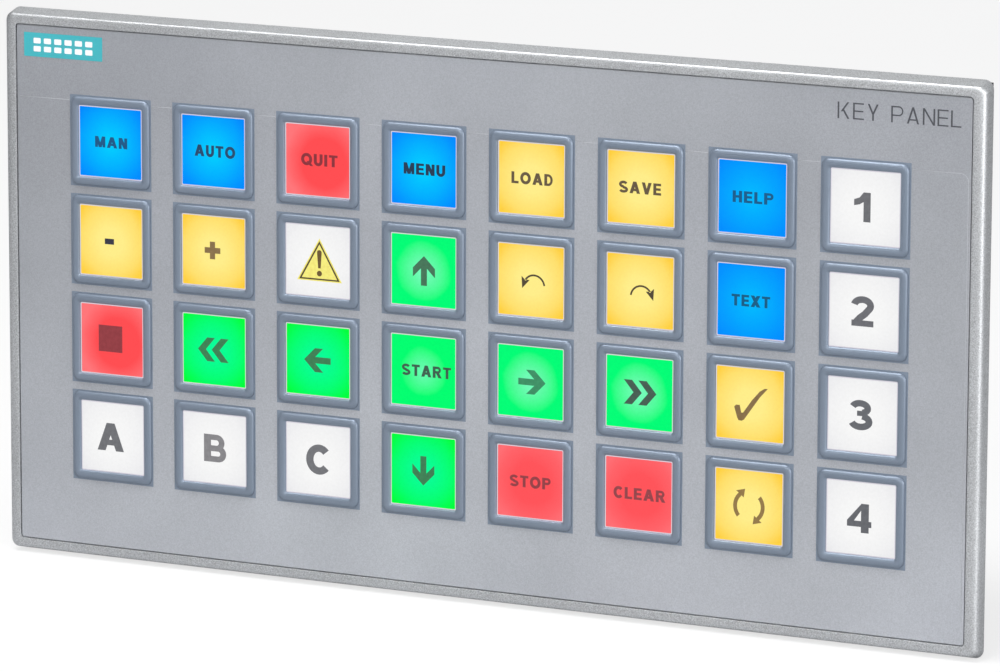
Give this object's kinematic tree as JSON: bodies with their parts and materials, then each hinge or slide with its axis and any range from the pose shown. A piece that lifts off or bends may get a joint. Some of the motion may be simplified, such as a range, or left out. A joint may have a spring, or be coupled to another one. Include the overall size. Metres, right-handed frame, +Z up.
{
  "type": "illuminated operator key panel",
  "caption": "Flush-mounted operator panel with backlit short-stroke keys in a silver front, seal, stepped metal rear box and sockets facing down.",
  "frame": {"origin": "centre of the cabinet cut-out, on the mounting plane where the seal's rear face meets the cabinet door", "axes": "-Y towards the operator, +X to the operator's right, +Z up; the keys travel along +Y"},
  "size_m": [0.295, 0.0503, 0.155],
  "materials": {
    "silver_paint": "fine textured silver paint",
    "foil_print": "fine-grained printed polyester foil, silver grey",
    "white_plastic": "moulded, matte",
    "silicone": "moulded silicone, matte",
    "circuit_board": "solder resist over glass-fibre laminate",
    "seal_rubber": "cellular rubber, matte",
    "housing_metal": "bent sheet, satin",
    "label_film": "translucent printed film",
    "black_plastic": "moulded, matte",
    "terminal_green": "moulded, matte",
    "jack_shield": "tinned sheet steel",
    "screw_steel": "zinc plated",
    "rating_film": "blank silver film label",
    "key_lit_blue": "backlit blue window in a grey-blue printed rim",
    "key_lit_red": "backlit red window in a grey-blue printed rim",
    "key_lit_yellow": "backlit yellow window in a grey-blue printed rim",
    "key_lit_green": "backlit green window in a grey-blue printed rim",
    "key_lit_white": "backlit white window in a grey-blue printed rim"
  },
  "bodies": {
    "panel": {"front_frame": "silver_paint", "front_foil": "foil_print", "light_grid": "white_plastic", "switch_mat": "silicone", "keypad_board": "circuit_board", "mounting_seal": "seal_rubber", "rear_housing": "housing_metal", "rear_cover": "housing_metal", "label_strip_row1": "label_film", "label_strip_row2": "label_film", "label_strip_row3": "label_film", "label_strip_row4": "label_film", "main_board": "circuit_board", "power_connector": "black_plastic", "io_connector_1": "terminal_green", "io_connector_2": "terminal_green", "ethernet_jack_1": "jack_shield", "ethernet_jack_2": "jack_shield", "dip_switch": "black_plastic", "cable_tie_lug": "jack_shield", "port_plate": "housing_metal", "board_link": "black_plastic", "rating_plate": "rating_film", "cover_screw_1": "screw_steel", "cover_screw_2": "screw_steel", "cover_screw_3": "screw_steel", "cover_screw_4": "screw_steel", "ground_screw": "screw_steel"},
    "b_key_row1_col1": {"key_row1_col1": "key_lit_blue"},
    "b_key_row1_col2": {"key_row1_col2": "key_lit_blue"},
    "b_key_row1_col3": {"key_row1_col3": "key_lit_red"},
    "b_key_row1_col4": {"key_row1_col4": "key_lit_blue"},
    "b_key_row1_col5": {"key_row1_col5": "key_lit_yellow"},
    "b_key_row1_col6": {"key_row1_col6": "key_lit_yellow"},
    "b_key_row1_col7": {"key_row1_col7": "key_lit_blue"},
    "b_key_row1_col8": {"key_row1_col8": "key_lit_white"},
    "b_key_row2_col1": {"key_row2_col1": "key_lit_yellow"},
    "b_key_row2_col2": {"key_row2_col2": "key_lit_yellow"},
    "b_key_row2_col3": {"key_row2_col3": "key_lit_yellow"},
    "b_key_row2_col4": {"key_row2_col4": "key_lit_green"},
    "b_key_row2_col5": {"key_row2_col5": "key_lit_yellow"},
    "b_key_row2_col6": {"key_row2_col6": "key_lit_yellow"},
    "b_key_row2_col7": {"key_row2_col7": "key_lit_blue"},
    "b_key_row2_col8": {"key_row2_col8": "key_lit_white"},
    "b_key_row3_col1": {"key_row3_col1": "key_lit_red"},
    "b_key_row3_col2": {"key_row3_col2": "key_lit_green"},
    "b_key_row3_col3": {"key_row3_col3": "key_lit_green"},
    "b_key_row3_col4": {"key_row3_col4": "key_lit_green"},
    "b_key_row3_col5": {"key_row3_col5": "key_lit_green"},
    "b_key_row3_col6": {"key_row3_col6": "key_lit_green"},
    "b_key_row3_col7": {"key_row3_col7": "key_lit_yellow"},
    "b_key_row3_col8": {"key_row3_col8": "key_lit_white"},
    "b_key_row4_col1": {"key_row4_col1": "key_lit_white"},
    "b_key_row4_col2": {"key_row4_col2": "key_lit_white"},
    "b_key_row4_col3": {"key_row4_col3": "key_lit_white"},
    "b_key_row4_col4": {"key_row4_col4": "key_lit_green"},
    "b_key_row4_col5": {"key_row4_col5": "key_lit_red"},
    "b_key_row4_col6": {"key_row4_col6": "key_lit_red"},
    "b_key_row4_col7": {"key_row4_col7": "key_lit_yellow"},
    "b_key_row4_col8": {"key_row4_col8": "key_lit_white"}
  },
  "joints": [
    {"name": "press_row1_col1", "type": "slide", "parent": "panel", "child": "b_key_row1_col1", "axis": [0, 1, 0], "range_m": [0, 0.0005], "stiffness_N_per_m": 600, "springref_m": -0.004},
    {"name": "press_row1_col2", "type": "slide", "parent": "panel", "child": "b_key_row1_col2", "axis": [0, 1, 0], "range_m": [0, 0.0005], "stiffness_N_per_m": 600, "springref_m": -0.004},
    {"name": "press_row1_col3", "type": "slide", "parent": "panel", "child": "b_key_row1_col3", "axis": [0, 1, 0], "range_m": [0, 0.0005], "stiffness_N_per_m": 600, "springref_m": -0.004},
    {"name": "press_row1_col4", "type": "slide", "parent": "panel", "child": "b_key_row1_col4", "axis": [0, 1, 0], "range_m": [0, 0.0005], "stiffness_N_per_m": 600, "springref_m": -0.004},
    {"name": "press_row1_col5", "type": "slide", "parent": "panel", "child": "b_key_row1_col5", "axis": [0, 1, 0], "range_m": [0, 0.0005], "stiffness_N_per_m": 600, "springref_m": -0.004},
    {"name": "press_row1_col6", "type": "slide", "parent": "panel", "child": "b_key_row1_col6", "axis": [0, 1, 0], "range_m": [0, 0.0005], "stiffness_N_per_m": 600, "springref_m": -0.004},
    {"name": "press_row1_col7", "type": "slide", "parent": "panel", "child": "b_key_row1_col7", "axis": [0, 1, 0], "range_m": [0, 0.0005], "stiffness_N_per_m": 600, "springref_m": -0.004},
    {"name": "press_row1_col8", "type": "slide", "parent": "panel", "child": "b_key_row1_col8", "axis": [0, 1, 0], "range_m": [0, 0.0005], "stiffness_N_per_m": 600, "springref_m": -0.004},
    {"name": "press_row2_col1", "type": "slide", "parent": "panel", "child": "b_key_row2_col1", "axis": [0, 1, 0], "range_m": [0, 0.0005], "stiffness_N_per_m": 600, "springref_m": -0.004},
    {"name": "press_row2_col2", "type": "slide", "parent": "panel", "child": "b_key_row2_col2", "axis": [0, 1, 0], "range_m": [0, 0.0005], "stiffness_N_per_m": 600, "springref_m": -0.004},
    {"name": "press_row2_col3", "type": "slide", "parent": "panel", "child": "b_key_row2_col3", "axis": [0, 1, 0], "range_m": [0, 0.0005], "stiffness_N_per_m": 600, "springref_m": -0.004},
    {"name": "press_row2_col4", "type": "slide", "parent": "panel", "child": "b_key_row2_col4", "axis": [0, 1, 0], "range_m": [0, 0.0005], "stiffness_N_per_m": 600, "springref_m": -0.004},
    {"name": "press_row2_col5", "type": "slide", "parent": "panel", "child": "b_key_row2_col5", "axis": [0, 1, 0], "range_m": [0, 0.0005], "stiffness_N_per_m": 600, "springref_m": -0.004},
    {"name": "press_row2_col6", "type": "slide", "parent": "panel", "child": "b_key_row2_col6", "axis": [0, 1, 0], "range_m": [0, 0.0005], "stiffness_N_per_m": 600, "springref_m": -0.004},
    {"name": "press_row2_col7", "type": "slide", "parent": "panel", "child": "b_key_row2_col7", "axis": [0, 1, 0], "range_m": [0, 0.0005], "stiffness_N_per_m": 600, "springref_m": -0.004},
    {"name": "press_row2_col8", "type": "slide", "parent": "panel", "child": "b_key_row2_col8", "axis": [0, 1, 0], "range_m": [0, 0.0005], "stiffness_N_per_m": 600, "springref_m": -0.004},
    {"name": "press_row3_col1", "type": "slide", "parent": "panel", "child": "b_key_row3_col1", "axis": [0, 1, 0], "range_m": [0, 0.0005], "stiffness_N_per_m": 600, "springref_m": -0.004},
    {"name": "press_row3_col2", "type": "slide", "parent": "panel", "child": "b_key_row3_col2", "axis": [0, 1, 0], "range_m": [0, 0.0005], "stiffness_N_per_m": 600, "springref_m": -0.004},
    {"name": "press_row3_col3", "type": "slide", "parent": "panel", "child": "b_key_row3_col3", "axis": [0, 1, 0], "range_m": [0, 0.0005], "stiffness_N_per_m": 600, "springref_m": -0.004},
    {"name": "press_row3_col4", "type": "slide", "parent": "panel", "child": "b_key_row3_col4", "axis": [0, 1, 0], "range_m": [0, 0.0005], "stiffness_N_per_m": 600, "springref_m": -0.004},
    {"name": "press_row3_col5", "type": "slide", "parent": "panel", "child": "b_key_row3_col5", "axis": [0, 1, 0], "range_m": [0, 0.0005], "stiffness_N_per_m": 600, "springref_m": -0.004},
    {"name": "press_row3_col6", "type": "slide", "parent": "panel", "child": "b_key_row3_col6", "axis": [0, 1, 0], "range_m": [0, 0.0005], "stiffness_N_per_m": 600, "springref_m": -0.004},
    {"name": "press_row3_col7", "type": "slide", "parent": "panel", "child": "b_key_row3_col7", "axis": [0, 1, 0], "range_m": [0, 0.0005], "stiffness_N_per_m": 600, "springref_m": -0.004},
    {"name": "press_row3_col8", "type": "slide", "parent": "panel", "child": "b_key_row3_col8", "axis": [0, 1, 0], "range_m": [0, 0.0005], "stiffness_N_per_m": 600, "springref_m": -0.004},
    {"name": "press_row4_col1", "type": "slide", "parent": "panel", "child": "b_key_row4_col1", "axis": [0, 1, 0], "range_m": [0, 0.0005], "stiffness_N_per_m": 600, "springref_m": -0.004},
    {"name": "press_row4_col2", "type": "slide", "parent": "panel", "child": "b_key_row4_col2", "axis": [0, 1, 0], "range_m": [0, 0.0005], "stiffness_N_per_m": 600, "springref_m": -0.004},
    {"name": "press_row4_col3", "type": "slide", "parent": "panel", "child": "b_key_row4_col3", "axis": [0, 1, 0], "range_m": [0, 0.0005], "stiffness_N_per_m": 600, "springref_m": -0.004},
    {"name": "press_row4_col4", "type": "slide", "parent": "panel", "child": "b_key_row4_col4", "axis": [0, 1, 0], "range_m": [0, 0.0005], "stiffness_N_per_m": 600, "springref_m": -0.004},
    {"name": "press_row4_col5", "type": "slide", "parent": "panel", "child": "b_key_row4_col5", "axis": [0, 1, 0], "range_m": [0, 0.0005], "stiffness_N_per_m": 600, "springref_m": -0.004},
    {"name": "press_row4_col6", "type": "slide", "parent": "panel", "child": "b_key_row4_col6", "axis": [0, 1, 0], "range_m": [0, 0.0005], "stiffness_N_per_m": 600, "springref_m": -0.004},
    {"name": "press_row4_col7", "type": "slide", "parent": "panel", "child": "b_key_row4_col7", "axis": [0, 1, 0], "range_m": [0, 0.0005], "stiffness_N_per_m": 600, "springref_m": -0.004},
    {"name": "press_row4_col8", "type": "slide", "parent": "panel", "child": "b_key_row4_col8", "axis": [0, 1, 0], "range_m": [0, 0.0005], "stiffness_N_per_m": 600, "springref_m": -0.004}
  ]
}
